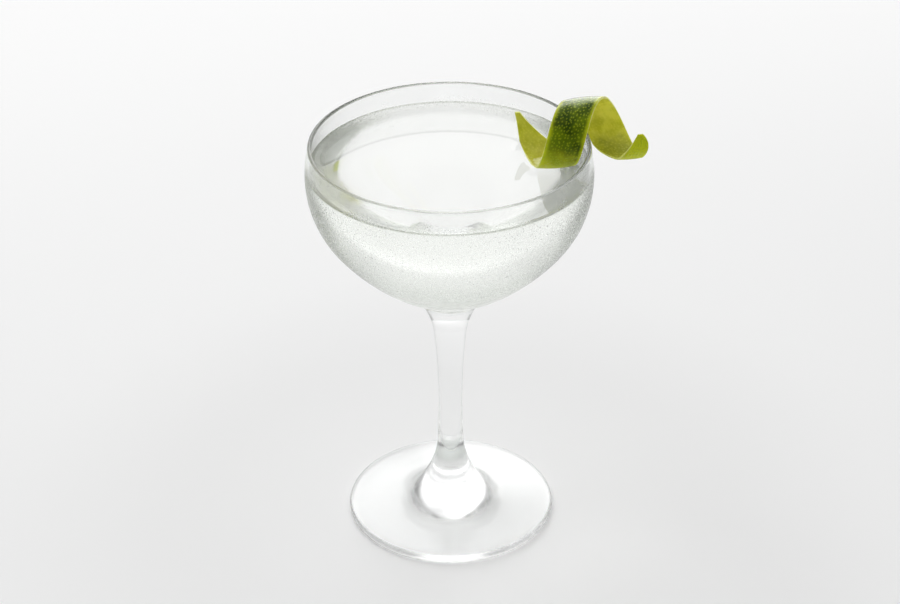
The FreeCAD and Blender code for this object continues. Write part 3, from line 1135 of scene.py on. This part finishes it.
class PeelTwist:
    """The strip of peel, wound in a loose helix with its zest outwards and hooked over the rim."""

    def __init__(self, sizes: PeelSizes, glass: CoupeSizes) -> None:
        """Place the helix so that the strip's left edge just clears the rim at the hook.

        Args:
            sizes: The strip's sizes.
            glass: The sizes of the glass it hangs on.
        """
        self.sizes = sizes
        self.pitch = sizes.strip_width + sizes.helix_gap
        yaw, rise = math.radians(sizes.helix_yaw), math.radians(sizes.helix_rise)
        along = np.array([1.0, math.tan(yaw), math.tan(rise)])
        self.along = along / np.linalg.norm(along)
        up = np.array([0.0, 0.0, 1.0]) - self.along * self.along[2]
        self.up = up / np.linalg.norm(up)
        self.back = np.cross(self.up, self.along)
        above = glass.height + sizes.helix_above_rim
        self.centre = np.array([glass.rim_radius, sizes.helix_back, above])
        self.shift = 0.0
        clear = glass.rim_radius + glass.wall / 2 + sizes.hook_clear
        left = np.array([-sizes.strip_width / 2])
        corner = self.points(np.array([sizes.hook_angle]), left, np.zeros(1))[0]
        self.shift = (math.sqrt(clear**2 - corner[1] ** 2) - corner[0]) / self.along[0]

    def points(self, angle: np.ndarray, across: np.ndarray, out: np.ndarray) -> np.ndarray:
        """Points of the strip.

        Args:
            angle: Angles of the helix in degrees, counted from its top, over the back.
            across: Distances across the strip from its middle.
            out: Distances out from the strip's inside.

        Returns:
            One point a row.
        """
        s = self.sizes
        turned = np.radians(angle)
        turns = (angle - s.top_angle) / FULL_TURN
        radius = s.helix_radius - s.helix_closing * turns + out
        middle = self.shift + self.pitch * turns
        radial = np.outer(np.sin(turned), self.back) + np.outer(np.cos(turned), self.up)
        return self.centre + np.outer(middle + across, self.along) + radial * radius[:, None]

    def edges(self, angle: np.ndarray) -> tuple[np.ndarray, np.ndarray]:
        """Where the left and right edges are across the strip, with both ends cut slantwise.

        Args:
            angle: The angles of the rows.

        Returns:
            The left and the right edge at each.
        """
        s = self.sizes
        half = s.strip_width / 2
        from_tail = angle - s.tail_angle
        left_share = 1 - np.clip(from_tail / s.tail_left_cut, 0, 1)
        right_share = 1 - np.clip(from_tail / s.tail_right_cut, 0, 1) ** s.tail_rounding
        left = -half + s.tail_point_inset * left_share
        right = half - (s.strip_width - s.tail_point_inset - s.point_width) * right_share
        narrowed = ease((angle - s.narrow_angle) / s.narrow_turn)
        to_tip = np.clip(1 - (s.tip_angle - angle) / s.tip_cut, 0, 1)
        narrowing = s.tip_left_narrowing + s.tip_right_narrowing
        cut = s.strip_width - narrowing - s.tip_point_inset - s.point_width
        left = left + s.tip_left_narrowing * narrowed + cut * to_tip
        rounded = s.tip_point_inset * to_tip**s.tip_rounding
        right = right - s.tip_right_narrowing * narrowed - rounded
        return left, right

    def build(
        self, zest: bpy.types.Material, pith: bpy.types.Material, edge: bpy.types.Material
    ) -> bpy.types.Object:
        """Make the strip as one closed mesh.

        Args:
            zest: The outside's material.
            pith: The inside's material.
            edge: The cut edge's material.

        Returns:
            The mesh object.
        """
        s = self.sizes
        angle = np.linspace(s.tail_angle, s.tip_angle, s.rows)
        wobble = Wobble(np.random.default_rng(PEEL_SEED), s.rows)
        length = np.radians(angle - s.tail_angle) * s.helix_radius
        grid, maps = [], []
        ring = self.section(angle)
        for across, out in ring:
            grid.append(self.points(angle, across, out + wobble(across)))
            maps.append(np.stack([length, across], axis=1))
        points = np.stack(grid, axis=1).reshape(-1, 3)
        faces, owners = self.skin(len(ring))
        piece = make_piece("lime_peel_strip", points, faces, [zest, pith, edge], owners)
        add_uv(piece, np.stack(maps, axis=1).reshape(-1, 2))
        return piece

    def section(self, angle: np.ndarray) -> list[tuple[np.ndarray, np.ndarray]]:
        """The strip's cross-section, inside first, then round its right edge and back outside.

        Args:
            angle: The angles of the rows.

        Returns:
            For each point round the section, its distances across and out, one for each row.
        """
        s = self.sizes
        left, right = self.edges(angle)
        share = ((right - left) / s.strip_width) ** 2
        place = np.linspace(0, 1, s.columns)
        bulge = 4 * place * (1 - place)
        inner, outer, round_right, round_left = [], [], [], []
        for where, swell in zip(place, bulge):
            across = left + (right - left) * where
            crown = s.strip_crown * share * swell
            thin = (s.strip_thick - s.strip_edge_thick) * share * swell
            inner.append((across, crown - thin))
            outer.append((across, s.strip_edge_thick + crown))
        for k in range(1, s.sides):
            bow = s.edge_bow * math.sin(math.pi * k / s.sides)
            out = np.full(s.rows, s.strip_edge_thick * k / s.sides)
            round_right.append((right + bow, out))
            round_left.append((left - bow, out))
        return inner + round_right + outer[::-1] + round_left[::-1]

    def skin(self, around: int) -> tuple[Faces, np.ndarray]:
        """Join the rows into a closed skin.

        Args:
            around: The number of points round the section.

        Returns:
            The faces, and the slot number of each.
        """
        s = self.sizes
        columns, sides, rows = s.columns, s.sides, s.rows
        owner = np.full(around, int(StripSide.CUT), dtype=np.int32)
        owner[: columns - 1] = StripSide.PITH
        owner[columns + sides - 1 : 2 * columns + sides - 2] = StripSide.ZEST
        faces: Faces = []
        for low in range(0, (rows - 1) * around, around):
            for k in range(around):
                nxt = (k + 1) % around
                faces.append((low + k, low + nxt, low + around + nxt, low + around + k))
        faces.append(tuple(reversed(range(around))))
        faces.append(tuple((rows - 1) * around + k for k in range(around)))
        ends = np.full(2, int(StripSide.CUT), dtype=np.int32)
        return faces, np.concatenate([np.tile(owner, rows - 1), ends])


class Wobble:
    """A slow unevenness of a strip, in and out, along its length and across it."""

    def __init__(self, rng: np.random.Generator, rows: int, depth: float = 0.12) -> None:
        """Draw the waves.

        Args:
            rng: The seeded random numbers.
            rows: The number of rows along the strip.
            depth: The largest depth of a wave.
        """
        along = np.linspace(0, 1, rows)
        self.level = np.zeros(rows)
        self.tilt = np.zeros(rows)
        for wave in range(3, 9):
            for waves in (self.level, self.tilt):
                size = rng.normal()
                waves += size * np.sin(math.tau * wave * along + rng.uniform(0, math.tau)) / wave
        self.level *= depth
        self.tilt *= depth / 6

    def __call__(self, across: np.ndarray) -> np.ndarray:
        """The offset of each row at a distance across the strip."""
        return self.level + self.tilt * across


# ---------------------------------------------------------------- the glass


@dataclass(frozen=True)
class CoupeGlass:
    """The stemmed coupe, turned in one piece.

    Attributes:
        outline: The half section.
        clear: The finish of the dry rim and inside.
        misted: The finish of the bowl's cold outside.
        wetted: The finish of the inside where the drink lies against it.
        thick: The finish of the stem and the foot.
        painted_line: The finish of the painted shade, a dark line where the drink ends.
        contact: The height in millimetres up to which the drink wets the inside.
        painted_line_height: The height in millimetres of that painted dark line.
        segments: The number of steps round the axis.
        mist_from: The height in millimetres above which the outside is misted.
    """

    outline: CoupeOutline
    clear: ClearFinish
    misted: MistedFinish
    wetted: ClearFinish
    thick: ThickGlassFinish
    painted_line: ClearFinish
    contact: float
    painted_line_height: float = 0.5
    segments: int = 320
    mist_from: float = 88.0

    def build(self) -> bpy.types.Object:
        """Make the glass."""
        profile = self.outline.glass(self.contact)
        points, faces, steps = lathe(profile, self.segments)
        rim = int(np.argmax(profile[:, 1]))
        middle = (profile[:-1, 1] + profile[1:, 1])[steps] / 2
        outside, inside = steps < rim, steps > rim
        wet = inside & (middle < self.contact)
        zone = np.full(len(faces), int(GlassZone.DRY), dtype=np.int32)
        zone[outside & (middle > self.mist_from)] = GlassZone.MISTED
        zone[wet] = GlassZone.WETTED
        zone[outside & (middle <= self.mist_from)] = GlassZone.THICK
        # A thin band just below the drink's contact takes the painted shade of the dark drink line.
        zone[wet & (middle > self.contact - self.painted_line_height)] = GlassZone.PAINTED_LINE
        finishes = [self.clear, self.misted, self.wetted, self.thick, self.painted_line]
        return make_piece("coupe_glass", points, faces, [each.build() for each in finishes], zone)


# ---------------------------------------------------------------- the drink


@dataclass(frozen=True)
class DrinkFill:
    """The drink, which reaches just into the wall and climbs where it wets glass and peel.

    Attributes:
        outline: The glass's half section.
        open_finish: The material of its open surface.
        side_finish: The material of its sides, inside the wall.
        peel: Points of the peel in millimetres.
        into_wall: How far the drink reaches into the wall.
        climb: How high it climbs the glass.
        peel_climb: How high it climbs the peel.
        reach: How quickly the climb fades away from the wall.
        near: How close to the level the peel's points are that it climbs.
        fine_width: How far from the wall the surface is finely divided.
        fine_step: The distance between its rings there.
        middle_until: The radius down to which it is fairly finely divided.
        middle_step: The distance between its rings there.
        coarse_step: The distance between its rings further in.
        segments: The number of steps round the axis.
    """

    outline: CoupeOutline
    open_finish: ClearFinish
    side_finish: ClearFinish
    peel: np.ndarray
    into_wall: float = 0.25
    climb: float = WETTING_CLIMB
    peel_climb: float = 1.3
    reach: float = 2.0
    near: float = 0.6
    fine_width: float = 6.0
    fine_step: float = 0.25
    middle_until: float = 14.0
    middle_step: float = 0.55
    coarse_step: float = 2.0
    segments: int = 512

    def surface(self, radius: np.ndarray) -> np.ndarray:
        """The height of the surface at a distance from the axis, away from the peel.

        Args:
            radius: The distances from the axis.

        Returns:
            The height at each.
        """
        sizes = self.outline.sizes
        wall = sizes.inner_radius(sizes.drink_level)
        return sizes.drink_level + self.climb * np.exp(-np.maximum(wall - radius, 0.0) / self.reach)

    def build(self) -> bpy.types.Object:
        """Make the drink."""
        sizes = self.outline.sizes
        offset = sizes.wall - self.into_wall
        contact = sizes.drink_level + self.climb
        side = self.outline.inside_chain(offset, contact)[::-1]
        edge = side[-1, 0]
        fine = np.arange(edge, edge - self.fine_width, -self.fine_step)[1:]
        middle = np.arange(fine[-1], self.middle_until, -self.middle_step)[1:]
        coarse = np.arange(middle[-1], 0.0, -self.coarse_step)[1:]
        radius = np.concatenate([fine, middle, coarse, [0.0]])
        top = np.stack([radius, self.surface(radius)], axis=1)
        profile = np.vstack([side, top])
        points, faces, steps = lathe(profile, self.segments)
        self.wet_peel(points, len(side))
        finish = (steps < len(side) - 1).astype(np.int32)
        materials = [self.open_finish.build(), self.side_finish.build()]
        return make_piece("cocktail_fill", points, faces, materials, finish)

    def wet_peel(self, points: np.ndarray, first_ring: int) -> None:
        """Raise the surface's points close to the peel.

        Args:
            points: All points of the drink, changed in place.
            first_ring: The number of the profile's first point on the surface.
        """
        level = self.outline.sizes.drink_level
        near_level = self.peel[np.abs(self.peel[:, 2] - level) < self.near]
        tree = KDTree(len(near_level))
        for number, point in enumerate(near_level):
            tree.insert((point[0], point[1], 0.0), number)
        tree.balance()
        for number in range((first_ring - 1) * self.segments, len(points) - 2):
            x, y, z = points[number]
            if x < 0:
                continue
            _, _, gap = tree.find((x, y, 0.0))
            rise = self.peel_climb * math.exp(-gap / self.reach)
            fade = math.exp(-(z - level) / self.climb)
            points[number, 2] = z + rise * fade


# ---------------------------------------------------------------- the dew


@dataclass(frozen=True)
class DewDrops:
    """Small drops of dew on the bowl's cold outside, joined into one mesh.

    Attributes:
        sizes: The sizes of the glass.
        finish: The water's material.
        count: The number of drops.
        smallest: The smallest drop's radius.
        largest: The largest drop's radius.
        low: The height at which the dew starts.
        high: The height at which it ends.
        far_low: The height at which it starts on the far side.
        far_sine: The sine of the turn from which the bowl counts as its far side.
        floor_turn: How far in radians the dew follows the bowl's floor.
        scatter: How far the drops stray from their line.
        sides: The number of each drop's sides.
    """

    sizes: CoupeSizes
    finish: ClearFinish
    count: int = 7500
    smallest: float = 0.07
    largest: float = 0.22
    low: float = 96.0
    high: float = 140.3
    far_low: float = 126.0
    far_sine: float = 0.15
    floor_turn: float = 0.6
    scatter: float = 0.05
    sides: int = 6

    def build(self) -> bpy.types.Object:
        """Make the drops."""
        rng = np.random.default_rng(DEW_SEED)
        s = self.sizes
        arcs = [
            Arc(s.upper_centre, s.upper_arc, s.rim_angle, 0.0),
            Arc(s.side_centre, s.side_arc, 0.0, -s.turn),
            Arc(s.floor_centre, s.floor_arc, -s.turn, -s.turn - self.floor_turn),
        ]
        line = np.vstack([arc.points(0.2) for arc in arcs])
        line = line[(line[:, 1] < self.high) & (line[:, 1] > self.low)]
        slope = np.gradient(line, axis=0)
        slope /= np.linalg.norm(slope, axis=1)[:, None]
        outward = np.stack([-slope[:, 1], slope[:, 0]], axis=1)
        depth = (self.high - line[:, 1]) / (self.high - self.low)
        weight = line[:, 0] * (0.15 + 0.85 * np.clip(1 - depth, 0, 1))
        weight /= weight.sum()
        place = rng.choice(len(line), self.count, p=weight)
        turns = rng.uniform(0, math.tau, (self.count, 2))
        sideways = np.abs(np.cos(turns)).argmax(axis=1)
        turn = turns[np.arange(self.count), sideways]
        dry = (np.sin(turn) > self.far_sine) & (line[place, 1] < self.far_low)
        turn[dry] *= -1
        size = self.smallest + (self.largest - self.smallest) * rng.beta(1.3, 3.0, self.count)
        cap = self.cap()
        points, faces = [], []
        for k in range(self.count):
            spin = np.array([math.cos(turn[k]), math.sin(turn[k]), 0.0])
            around = np.array([-spin[1], spin[0], 0.0])
            radius, height = line[place[k]] + rng.normal(0, self.scatter, 2) * slope[place[k]]
            normal = spin * outward[place[k], 0] + np.array([0, 0, outward[place[k], 1]])
            axes = np.stack([around, np.cross(normal, around), normal])
            base = spin * radius + np.array([0, 0, height])
            faces += self.cap_faces(k * len(cap))
            points.append(base + cap * size[k] @ axes)
        return make_piece("dew_drops", np.vstack(points), faces, [self.finish.build()])

    def cap(self) -> np.ndarray:
        """A drop of radius 1: two rings and a top, the first ring a little inside the glass."""
        ring = np.linspace(0, math.tau, self.sides, endpoint=False)
        rows = []
        for share, lift in ((1.0, -0.05), (0.72, 0.16)):
            level = np.full(self.sides, lift)
            rows.append(np.stack([np.cos(ring) * share, np.sin(ring) * share, level], axis=1))
        return np.vstack([*rows, [[0.0, 0.0, 0.24]]])

    def cap_faces(self, start: int) -> Faces:
        """The faces of one drop.

        Args:
            start: The number of its first point.

        Returns:
            Its faces.
        """
        n = self.sides
        faces: Faces = []
        for k in range(n):
            nxt = (k + 1) % n
            faces.append((start + k, start + nxt, start + n + nxt, start + n + k))
            faces.append((start + n + k, start + n + nxt, start + 2 * n))
        faces.append(tuple(start + k for k in reversed(range(n))))
        return faces


# ---------------------------------------------------------------- floor, light and camera


@dataclass(frozen=True)
class Studio:
    """A pale floor, with painted light that brightens it towards the window, a wide bright window
    behind, a dim room in front and one low lamp.

    Attributes:
        floor_colour: How much light the floor gives back.
        floor_size: The floor's half width in metres.
        painted_far_light: How much painted light the floor gives off towards the window.
        far_way: The way to the window.
        far_reach: The distances in metres that way over which the floor gets brighter.
        floor_gap: The hair's breadth of air in millimetres between the foot and the floor.
        window: The brightness of the wide window behind the glass.
        sill: The brightness of the window's lowest part, near the horizon.
        mirrored_window: The brightness of the pane that the drink mirrors.
        mirrored_band: The heights over which that pane starts and ends.
        through_glass: The most that shows of the window through the glass.
        through_least: The least that shows of the room through the glass.
        beside: The brightness of the room to the left and right.
        before: Its brightness on the camera's side.
        above: Its brightness overhead.
        soft_light: How much brighter the room is towards its soft light.
        soft_place: The direction of the soft light.
        soft_edge: How nearly a direction points that way where the light starts and is full.
        low_place: Where the low lamp behind the glass stands.
        low_aim: The point that it faces.
        low_size: Its width in metres.
        low_power: Its power in watts.
    """

    floor_colour: tuple[float, float, float] = (0.90, 0.90, 0.90)
    floor_size: float = 3.0
    painted_far_light: float = 0.13
    far_way: tuple[float, float, float] = (-0.35, 1.0, 0.0)
    far_reach: tuple[float, float] = (-0.10, 0.55)
    floor_gap: float = 0.05
    window: float = 1.75
    sill: float = 1.35
    mirrored_window: float = 3.5
    mirrored_band: tuple[tuple[float, float], tuple[float, float]] = ((0.38, 0.44), (0.54, 0.60))
    through_glass: float = 1.12
    through_least: float = 0.48
    beside: float = 0.32
    before: float = 0.10
    above: float = 1.35
    soft_light: float = 1.45
    soft_place: tuple[float, float, float] = (-0.75, 1.0, 1.25)
    soft_edge: tuple[float, float] = (0.80, 0.97)
    low_place: tuple[float, float, float] = (0.25, 1.60, 0.50)
    low_aim: tuple[float, float, float] = (0.0, 0.0, 0.08)
    low_size: float = 0.70
    low_power: float = 2.6

    def build_floor(self) -> bpy.types.Object:
        """Lay the floor, with painted light that brightens it towards the window."""
        half = self.floor_size / MILLIMETRE
        low = -self.floor_gap
        signs = np.array([[-1.0, -1.0], [1.0, -1.0], [1.0, 1.0], [-1.0, 1.0]])
        corners = np.column_stack([signs * half, np.full(4, low)])
        material, tree, shader = new_material("floor")
        place = tree.place()
        darker = tuple(value * 0.985 for value in self.floor_colour)
        tint = tree.mix(tree.noise(place, 6.0, 2.0), darker, self.floor_colour)
        tree.link(tint, shader.inputs["Base Color"])
        tree.put(shader, Roughness=0.9, Specular_IOR_Level=0.0, Emission_Color=(1.0, 1.0, 1.0, 1.0))
        # Painted light: the floor glows, more brightly towards the window.
        glow = tree.remap(tree.dot(place, self.far_way), *self.far_reach, 0.0, self.painted_far_light)
        tree.link(glow, shader.inputs["Emission Strength"])
        return make_piece("floor", corners, [(0, 1, 2, 3)], [material], smooth=False)

    def build_world(self) -> None:
        """Light the scene from all round: a bright window behind, dim on the camera's side."""
        world = bpy.data.worlds.new("studio")
        bpy.context.scene.world = world
        world.use_nodes = True
        tree = NodeTree(world.node_tree)
        background = tree.add("Background")
        tree.link(background.outputs[0], tree.add("OutputWorld").inputs["Surface"])
        around = tree.add("TexCoord").outputs["Generated"]
        x, y, height = tree.split(around)
        squares = tree.math("ADD", tree.math("MULTIPLY", x, x), tree.math("MULTIPLY", y, y))
        heading = tree.math("DIVIDE", y, tree.math("POWER", squares, 0.5))
        room = tree.remap(heading, -0.75, 0.1, self.before, self.beside)
        room = tree.blend(tree.remap(height, 0.55, 0.90), room, self.above)
        wide = tree.remap(heading, 0.60, 0.92)
        tall = tree.band(height, (-0.10, -0.04), (0.58, 0.78))
        pane = tree.remap(height, 0.25, 0.45, self.sill, self.window)
        lit = tree.blend(tree.math("MULTIPLY", wide, tall), room, pane)
        toward = tree.dot(around, Vector(self.soft_place).normalized())
        lit = tree.math("ADD", lit, tree.remap(toward, *self.soft_edge, 0.0, self.soft_light))
        strength = self.seen(tree, lit, height, wide)
        tree.link(strength, background.inputs["Strength"])

    def seen(self, tree: NodeTree, lit: Socket, height: Socket, wide: Socket) -> Socket:
        """Balance the room for the eye, for its mirror image and for the view through the glass.

        Args:
            tree: The world's nodes.
            lit: The light of the room.
            height: The height of the direction that it comes from.
            wide: How far that direction is within the window's width.

        Returns:
            The strength of the light.
        """
        path = tree.add("LightPath").outputs
        direct = tree.math("LESS_THAN", path["Diffuse Depth"], 0.5)
        reflected = tree.math("GREATER_THAN", path["Glossy Depth"], 0.5)
        shallow = tree.math("LESS_THAN", path["Transmission Depth"], 2.5)
        mirrored = tree.math("MULTIPLY", tree.math("MULTIPLY", direct, reflected), shallow)
        through = tree.math("MULTIPLY", direct, path["Is Transmission Ray"])
        through = tree.math("MULTIPLY", through, tree.math("SUBTRACT", 1.0, mirrored))
        pane = tree.math("MULTIPLY", tree.band(height, *self.mirrored_band), wide)
        lit = tree.blend(tree.math("MULTIPLY", pane, mirrored), lit, self.mirrored_window)
        least = tree.math("MINIMUM", lit, self.through_glass)
        lit = tree.blend(through, lit, tree.math("MAXIMUM", least, self.through_least))
        return tree.blend(path["Is Camera Ray"], lit, 1.0)

    def build_lamp(self) -> None:
        """Stand the low lamp behind the glass and face it to the glass."""
        lamp = bpy.data.lights.new("low_lamp", "AREA")
        lamp.energy = self.low_power
        lamp.size = self.low_size
        holder = bpy.data.objects.new("low_lamp", lamp)
        bpy.context.scene.collection.objects.link(holder)
        holder.location = self.low_place
        holder.visible_transmission = False
        aim = Vector(self.low_aim) - Vector(self.low_place)
        holder.rotation_euler = aim.to_track_quat("-Z", "Y").to_euler()


@dataclass(frozen=True)
class ViewPoint:
    """The camera.

    Attributes:
        place: Where it stands, in metres.
        pitch: Its tilt up from looking straight down, in degrees.
        roll: Its turn about its own axis, in degrees.
        lens: The focal length in millimetres.
        sensor: The picture's width in the camera, in millimetres.
        nearest: The nearest distance that it sees, in metres.
    """

    place: tuple[float, float, float] = (0.0, -0.691, 0.508)
    pitch: float = 58.60
    roll: float = -0.26
    lens: float = 93.04
    sensor: float = 36.0
    nearest: float = 0.01

    def build(self) -> None:
        """Set up the camera."""
        camera = bpy.data.cameras.new("camera")
        camera.lens = self.lens
        camera.sensor_width = self.sensor
        camera.clip_start = self.nearest
        holder = bpy.data.objects.new("camera", camera)
        bpy.context.scene.collection.objects.link(holder)
        turn = Matrix.Rotation(math.radians(self.pitch), 4, "X")
        roll = Matrix.Rotation(math.radians(self.roll), 4, "Z")
        holder.matrix_world = Matrix.Translation(self.place) @ turn @ roll
        bpy.context.scene.camera = holder


def trace_clear_pieces(bounces: int = 40) -> None:
    """Let light pass through as many clear surfaces as the glass and the drink have.

    Args:
        bounces: How many surfaces light may meet.
    """
    scene = bpy.context.scene
    scene.view_settings.view_transform = "Standard"
    for kind in ("max", "transmission", "glossy", "transparent_max"):
        setattr(scene.cycles, f"{kind}_bounces", bounces)
    scene.cycles.blur_glossy = 0.0


# ---------------------------------------------------------------- everything together


def piece_points(piece: bpy.types.Object) -> np.ndarray:
    """The points of a piece in millimetres.

    Args:
        piece: The piece.

    Returns:
        One point a row.
    """
    values = np.empty(len(piece.data.vertices) * 3)
    piece.data.vertices.foreach_get("co", values)
    return values.reshape(-1, 3) / MILLIMETRE


def settle(piece: bpy.types.Object, node: Node) -> None:
    """Move a piece so that its middle is its solid's middle.

    Args:
        piece: The piece.
        node: The solid that it stands for.
    """
    low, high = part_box(node.value)
    points = piece_points(piece) * MILLIMETRE
    offset = (np.array(low) + np.array(high)) / 2 - (points.min(axis=0) + points.max(axis=0)) / 2
    LOG.info("%s moves by %s mm", piece.name, np.round(offset / MILLIMETRE, 3).tolist())
    piece.data.transform(Matrix.Translation(offset.tolist()))


def attach(piece: bpy.types.Object, node: Node, stands_in: bool = True) -> None:
    """Fix a piece to the part, hide its solid if it replaces it, and log its face count.

    Args:
        piece: The piece.
        node: The solid that it belongs with.
        stands_in: Whether it replaces the solid.
    """
    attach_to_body(piece, BODY)
    if stands_in:
        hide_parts(node.value)
    LOG.info("built %s: %d faces", piece.name, len(piece.data.polygons))


def main() -> None:
    """Build the cocktail, the floor, the light and the camera."""
    logging.basicConfig(level=logging.INFO, format="%(name)s: %(message)s")
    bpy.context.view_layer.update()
    glass_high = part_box(Node.GLASS.value)[1]
    drink_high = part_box(Node.DRINK.value)[1]
    sizes = CoupeSizes(
        height=glass_high[2] / MILLIMETRE,
        widest=glass_high[0] / MILLIMETRE,
        drink_level=drink_high[2] / MILLIMETRE,
    )
    LOG.info("glass %.2f mm high, drink up to %.2f mm", sizes.height, sizes.drink_level)
    outline = CoupeOutline(sizes)

    clear = ClearFinish("clear_glass", (0.992, 0.998, 0.994), GLASS_BEND)
    misted = MistedFinish(clear)
    wetted = ClearFinish("glass_to_drink", clear.tint, GLASS_BEND / DRINK_BEND)
    thick = ThickGlassFinish("thick_glass")
    # A darker tint, painted shade, stands for the dark line where the drink ends.
    painted_line = ClearFinish("painted_drink_line", (0.68, 0.70, 0.65), wetted.bend)
    contact = sizes.drink_level + WETTING_CLIMB
    glass = CoupeGlass(outline, clear, misted, wetted, thick, painted_line, contact).build()
    attach(glass, Node.GLASS)

    twist = PeelTwist(PeelSizes(), sizes)
    pith = PithFinish("lime_pith", (0.80, 0.76, 0.13), (0.58, 0.57, 0.05), (0.33, 0.34, 0.02))
    cut = PithFinish("lime_cut_edge", (0.82, 0.82, 0.36), (0.62, 0.66, 0.14), (0.60, 0.62, 0.16))
    peel = twist.build(ZestFinish().build(), pith.build(), cut.build())
    settle(peel, Node.TWIST)
    attach(peel, Node.TWIST)

    liquid = ClearFinish("cocktail", (1.0, 1.0, 1.0), DRINK_BEND)
    side = ClearFinish("cocktail_side", (0.940, 0.948, 0.922), 1.0)
    drink = DrinkFill(outline, liquid, side, piece_points(peel)).build()
    attach(drink, Node.DRINK)

    water = ClearFinish("dew", (1.0, 1.0, 1.0), WATER_BEND)
    dew = DewDrops(sizes, water).build()
    attach(dew, Node.GLASS, stands_in=False)

    studio = Studio()
    floor = studio.build_floor()
    studio.build_world()
    studio.build_lamp()
    ViewPoint().build()
    trace_clear_pieces()


if __name__ == "__main__":
    main()
